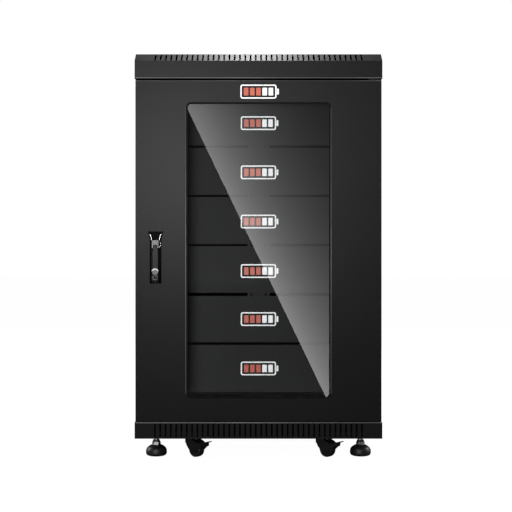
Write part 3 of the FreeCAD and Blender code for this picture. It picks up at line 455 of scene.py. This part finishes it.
def tube(name, points, radius, material):
    """A round bar through the points, with closed ends."""
    sides = 10
    mesh = bmesh.new()
    rings = []
    for k, point in enumerate(points):
        ahead = points[min(k + 1, len(points) - 1)]
        behind = points[max(k - 1, 0)]
        turn = (ahead - behind).to_track_quat("Z", "Y")
        ring = []
        for j in range(sides):
            angle = 2 * math.pi * j / sides
            offset = Vector((math.cos(angle) * radius, math.sin(angle) * radius, 0))
            ring.append(mesh.verts.new(point + turn @ offset))
        rings.append(ring)
    for first, second in zip(rings, rings[1:]):
        for j in range(sides):
            n = (j + 1) % sides
            mesh.faces.new((first[j], first[n], second[n], second[j]))
    mesh.faces.new(list(reversed(rings[0])))
    mesh.faces.new(rings[-1])
    return link_mesh(name, mesh, [material])


def arc_points(centre, radius, start, stop, steps, y):
    """Points of an arc parallel to the door; angles in degrees from +X towards +Z."""
    points = []
    for k in range(steps + 1):
        angle = math.radians(start + (stop - start) * k / steps)
        points.append(Vector((centre[0] + radius * math.cos(angle), y, centre[1] + radius * math.sin(angle))))
    return points


# ---------------------------------------------------------------- badges
def badge(name, y, z):
    """A generic battery pictogram: an outlined cell with its nub and five charge bars."""
    mesh = bmesh.new()
    place = (0.0, y, z)
    body = BADGE_WIDTH * 0.94
    line = BADGE_HEIGHT * 0.09
    add_plate(mesh, rounded_outline(body, BADGE_HEIGHT, BADGE_CORNER), BADGE_THICKNESS, place, 0,
              rounded_outline(body - 2 * line, BADGE_HEIGHT - 2 * line, BADGE_CORNER - line * 0.8))
    nub = rounded_outline(BADGE_WIDTH * 0.05, BADGE_HEIGHT * 0.42, BAR_CORNER)
    add_plate(mesh, shifted(nub, body / 2 + BADGE_WIDTH * 0.035), BADGE_THICKNESS, place, 0)
    pitch = (body - 4 * line) / CHARGE_BARS
    bar = rounded_outline(pitch * 0.74, BADGE_HEIGHT - 5 * line, BAR_CORNER)
    for k in range(CHARGE_BARS):
        slot = 1 if k < CHARGED_BARS else 0
        add_plate(mesh, shifted(bar, (k - (CHARGE_BARS - 1) / 2) * pitch), BADGE_THICKNESS, place, slot)
    return link_mesh(name, mesh, [MATERIALS["badge_white"], MATERIALS["badge_orange"]], smooth=False)


def add_badges():
    """One badge on the door above the window and one in the middle of each module's face plate."""
    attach(badge("door_badge", DOOR_LOW.y, DOOR_BADGE_Z), "front_door")
    for number in range(1, MODULES + 1):
        low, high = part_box(f"battery_{number}_faceplate")
        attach(badge(f"battery_{number}_badge", low[1], (low[2] + high[2]) / 2), "cabinet")


# ---------------------------------------------------------------- trim of the lock and sheet hems
def add_escutcheon_trim():
    """Bright flare lines and catch hook on the escutcheon."""
    top, front, bright = HOUSING_HIGH.z, HOUSING_LOW.y, MATERIALS["nickel"]
    for s, side in ((-1, "left"), (1, "right")):
        sweep = (180, 180 - FLARE_SWEEP) if s > 0 else (0, FLARE_SWEEP)
        start = (LOCK_AXIS + s * FLARE_CENTRE[0], top - FLARE_CENTRE[1])
        points = arc_points(start, FLARE_ARC, *sweep, 10, front + FLARE_RADIUS - TRIM_PROUD)
        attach(tube(f"lock_flare_{side}", points, FLARE_RADIUS, bright), "front_door")
    hook = arc_points((LOCK_AXIS + HOOK_CENTRE[0], top - HOOK_CENTRE[1]), HOOK_ARC, 65, -75, 12,
                      front + HOOK_RADIUS - TRIM_PROUD)
    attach(tube("lock_hook", hook, HOOK_RADIUS, bright), "front_door")


def add_lever_inlays():
    """A crescent above the key, light grey paint in place of chrome as a painted highlight, and a satin block
    at the lever's end, let into its face.
    """
    lever_low = Vector(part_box("lever")[0])
    key_low, key_high = [Vector(corner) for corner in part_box("key_cylinder")]
    key_z = (key_low.z + key_high.z) / 2
    relief = frame["nodes"]["lever"].modifiers.new("inlay_relief", "DISPLACE")
    relief.mid_level = 0.0
    relief.strength = -INLAY_RELIEF
    inlay_y = lever_low.y + INLAY_DEPTH
    outline = arc_points((0, 0), CRESCENT_OUTER, 20, 160, 14, 0) + arc_points(
        (0, 0), CRESCENT_INNER, 160, 20, 14, 0)
    # the crescent's light grey is a painted highlight standing in for chrome
    crescent = bmesh.new()
    add_plate(crescent, [(point.x, point.z) for point in outline], INLAY_DEPTH,
              (LOCK_AXIS, inlay_y, key_z - CRESCENT_DROP), 0)
    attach(link_mesh("key_crescent", crescent, [MATERIALS["inlay_painted_highlight"]]), "lock_lever")
    block = bmesh.new()
    add_plate(block, rounded_outline(*BLOCK_OUTER, 0.0008), INLAY_DEPTH,
              (LOCK_AXIS, inlay_y, lever_low.z + BLOCK_RISE), 0, rounded_outline(*BLOCK_INNER, 0.0005))
    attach(link_mesh("lever_block", block, [MATERIALS["lock_metal"]]), "lock_lever")


def add_foot_bar():
    """A satin bar across the foot of the escutcheon."""
    points = [Vector((LOCK_AXIS + x, HOUSING_LOW.y, HOUSING_LOW.z + FOOT_BAR_RISE))
              for x in (-FOOT_BAR_HALF, 0, FOOT_BAR_HALF)]
    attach(tube("lock_foot_bar", points, FOOT_BAR_RADIUS, MATERIALS["lock_metal"]), "front_door")


def add_beads():
    """Folded beads half sunk into the sheet, at the cover, door and plinth edges and beside the window,
    coloured lighter than the black coat as painted highlights, the door's one dimmer.
    """
    face = DOOR_LOW.y
    edge = COVER_HIGH.x - BEAD_INSET
    bright, dim_highlight = MATERIALS["bead_painted_highlight"], MATERIALS["bead_painted_dim_highlight"]
    plinth_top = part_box("base_tray")[1][2]
    for name, z, half, radius, material, body in (
            ("cover_bead", COVER_LOW.z + HEM_OFFSET, edge, BEAD_RADIUS, bright, "cabinet"),
            ("door_bead", DOOR_HIGH.z - DOOR_HEM_OFFSET, DOOR_HIGH.x - BEAD_INSET, THIN_BEAD_RADIUS, dim_highlight,
             "front_door"),
            ("plinth_bead", plinth_top - HEM_OFFSET, edge, BEAD_RADIUS, bright, "cabinet")):
        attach(tube(name, [Vector((-half, face, z)), Vector((half, face, z))], radius, material), body)
    end = PANE_MARGIN + WINDOW_BEAD_END
    for s, side in ((-1, "left"), (1, "right")):
        x = s * (GLASS_HIGH.x - PANE_MARGIN + WINDOW_BEAD_GAP)
        ends = [Vector((x, face, z)) for z in (GLASS_LOW.z + end, GLASS_HIGH.z - end)]
        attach(tube(f"window_bead_{side}", ends, THIN_BEAD_RADIUS, bright), "front_door")


# ---------------------------------------------------------------- groups that lights are linked to
def module_plates():
    return [frame["nodes"][f"battery_{number}_faceplate"] for number in range(1, MODULES + 1)]


def inner_frame():
    """Structure behind the doors that stays in their shade."""
    names = ["frame_rails", "corner_posts", "rack_rails", "battery_runners", "filter_mats"]
    names += [f"battery_{number}_case" for number in range(1, MODULES + 1)]
    return [frame["nodes"][name] for name in names]


def bright_details():
    """Badges, beads and the lock's bright lines: the small parts that catch the light."""
    names = [f"battery_{number}_badge" for number in range(1, MODULES + 1)]
    names += ["door_badge", "cover_bead", "door_bead", "plinth_bead", "window_bead_left", "window_bead_right",
              "lock_flare_left", "lock_flare_right", "lock_hook", "key_crescent"]
    return [bpy.data.objects[name] for name in names]


def running_gear():
    """Feet, casters and brakes: everything under the cabinet."""
    return [node for name, node in frame["nodes"].items() if name.startswith(("foot_", "caster_"))]


def collected(name, objects):
    """A collection outside the scene, for linking lights to the objects."""
    group = bpy.data.collections.new(name)
    for item in objects:
        group.objects.link(item)
    return group


def only_lights(light, objects):
    light.light_linking.receiver_collection = collected(f"{light.name}_receivers", objects)


def skips(light, objects):
    """Keeps a light off the objects."""
    group = collected(f"{light.name}_skips", objects)
    light.light_linking.receiver_collection = group
    for entry in group.collection_objects:
        entry.light_linking.link_state = "EXCLUDE"


# ---------------------------------------------------------------- studio
def white_world():
    """White for the camera and a weak, even light for everything else."""
    world = bpy.data.worlds.new("studio")
    bpy.context.scene.world = world
    world.use_nodes = True
    nodes, links = world.node_tree.nodes, world.node_tree.links
    background = nodes["Background"]
    level = nodes.new("ShaderNodeMapRange")
    level.inputs["To Min"].default_value = SURROUND_LIGHT
    level.inputs["To Max"].default_value = 1.0
    links.new(nodes.new("ShaderNodeLightPath").outputs["Is Camera Ray"], level.inputs["Value"])
    links.new(level.outputs["Result"], background.inputs["Strength"])
    background.inputs["Color"].default_value = (1, 1, 1, 1)


def pale_floor():
    bpy.ops.mesh.primitive_plane_add(size=FLOOR_SIZE, location=(0, 3.0, 0))
    floor = bpy.context.object
    floor.name = "studio_floor"
    floor.data.materials.append(floor_material())


def area_light(name, place, target, size, power):
    """A rectangular lamp that the camera can't see, turned towards its target."""
    data = bpy.data.lights.new(name, "AREA")
    data.shape = "RECTANGLE"
    data.size, data.size_y = size
    data.energy = power
    light = bpy.data.objects.new(name, data)
    bpy.context.scene.collection.objects.link(light)
    light.location = place
    light.rotation_euler = (Vector(target) - Vector(place)).to_track_quat("-Z", "Y").to_euler()
    light.visible_camera = False
    return light


def lamps():
    """Two keys on the outer sheet, lights for single groups of pieces, and fills for the sides and back."""
    pane, cover = frame["nodes"]["window_glass"], frame["nodes"]["top_cover"]
    key = area_light("key", (-0.27, -1.8, 0.84), (-0.17, -0.3, 0.7), (0.45, 0.45), 5.6)
    side_key = area_light("side_key", (0.45, -2.0, 0.98), (0.3, -0.3, 0.78), (0.4, 0.4), 1.6)
    for light in (key, side_key):
        skips(light, module_plates() + bright_details() + inner_frame() + [pane])
    area_light("overhead", (-0.02, 0.155, 2.01), (-0.02, -0.285, 0.978), (0.10, 0.3), 7)
    for name, place, target, size, power, lit in (
            ("module_light", (-0.5, -2.0, 0.48), (0, 0, 0.44), (1.0, 1.0), 9.0, module_plates()),
            ("detail_light", (-0.5, -2.0, 0.6), (0, 0, 0.5), (1.0, 1.0), 52.0, bright_details()),
            ("low_light", (-0.4, -1.8, 0.25), (0, -0.2, 0.04), (0.5, 0.15), 8.0, running_gear())):
        only_lights(area_light(name, place, target, size, power), lit)
    for name, place, power in (("left_fill", (-2.6, 0.5, 1.5), 60), ("right_fill", (2.6, 0.5, 1.5), 60),
                               ("back_fill", (0.5, 2.8, 1.5), 70)):
        area_light(name, place, (0, 0.1, 0.5), (1.4, 1.4), power)
    only_lights(area_light("brow_light", (-0.3, -1.9, 1.15), (-0.12, -0.3, 0.95), (0.4, 0.3), 0.9), [cover])


def card_material(edge_at_floor, slope):
    """Emission that fades away from the slanting edge and is a little weaker at the top."""
    material = bpy.data.materials.new("card")
    material.use_nodes = True
    nodes, links = material.node_tree.nodes, material.node_tree.links
    nodes.clear()
    split = nodes.new("ShaderNodeSeparateXYZ")
    links.new(object_coords(nodes), split.inputs["Vector"])
    x, z = split.outputs["X"], split.outputs["Z"]
    edge = math_node(nodes, links, "ADD", math_node(nodes, links, "MULTIPLY", z, slope), edge_at_floor)
    distance = math_node(nodes, links, "SUBTRACT", x, edge)
    fade = math_node(nodes, links, "EXPONENT", math_node(nodes, links, "MULTIPLY", distance, -CARD_FADE))
    lean = math_node(nodes, links, "SUBTRACT", CARD_POWER, math_node(nodes, links, "MULTIPLY", z, CARD_LEAN))
    glow = nodes.new("ShaderNodeEmission")
    links.new(math_node(nodes, links, "MULTIPLY", fade, lean), glow.inputs["Strength"])
    output = nodes.new("ShaderNodeOutputMaterial")
    links.new(glow.outputs["Emission"], output.inputs["Surface"])
    return material


def mirrored_card():
    """A bright card in front of the cabinet that only the pane mirrors, with a slanting left edge.

    The edge's ends are the pane points where the reflection starts and stops, thrown from the camera's
    mirror image onto the card's plane."""
    reach = (CAMERA_DISTANCE + CARD_GAP) / CAMERA_DISTANCE

    def thrown(point):
        return CAMERA_X + (point[0] - CAMERA_X) * reach, CAMERA_HEIGHT + (point[1] - CAMERA_HEIGHT) * reach

    (top_x, top_z), (low_x, low_z) = thrown(EDGE_TOP), thrown(EDGE_LOW)
    slope = (low_x - top_x) / (low_z - top_z)

    def edge_x(z):
        return top_x + slope * (z - top_z)

    y = GLASS_LOW.y - CARD_GAP
    corners = [(edge_x(CARD_BOTTOM), y, CARD_BOTTOM), (CARD_RIGHT, y, CARD_BOTTOM),
               (CARD_RIGHT, y, CARD_TOP), (edge_x(CARD_TOP), y, CARD_TOP)]
    data = bpy.data.meshes.new("card")
    data.from_pydata(corners, [], [(0, 1, 2, 3)])
    card = bpy.data.objects.new("studio_card", data)
    bpy.context.scene.collection.objects.link(card)
    data.materials.append(card_material(edge_x(0.0), slope))
    card.visible_camera = False
    card.visible_diffuse = False
    card.visible_shadow = False
    card.visible_transmission = False
    only_lights(card, [frame["nodes"]["window_glass"]])


def camera():
    """Level camera straight in front, at half the cabinet's height."""
    data = bpy.data.cameras.new("camera")
    data.sensor_width = SENSOR_WIDTH
    data.lens = data.sensor_width * CAMERA_DISTANCE / FRONT_FRAME_WIDTH
    eye = bpy.data.objects.new("camera", data)
    bpy.context.scene.collection.objects.link(eye)
    eye.location = (CAMERA_X, DOOR_LOW.y - CAMERA_DISTANCE, CAMERA_HEIGHT)
    eye.rotation_euler = (math.radians(90), 0, 0)
    bpy.context.scene.camera = eye


# ---------------------------------------------------------------- the scene
dress_cad_nodes()
ease_edges(["front_door", "top_cover", "base_tray", "rear_door", "lever", "lock_housing"])
add_badges()
add_escutcheon_trim()
add_lever_inlays()
add_foot_bar()
add_beads()
camera()
white_world()
pale_floor()
lamps()
mirrored_card()
bpy.context.scene.view_settings.view_transform = "Standard"
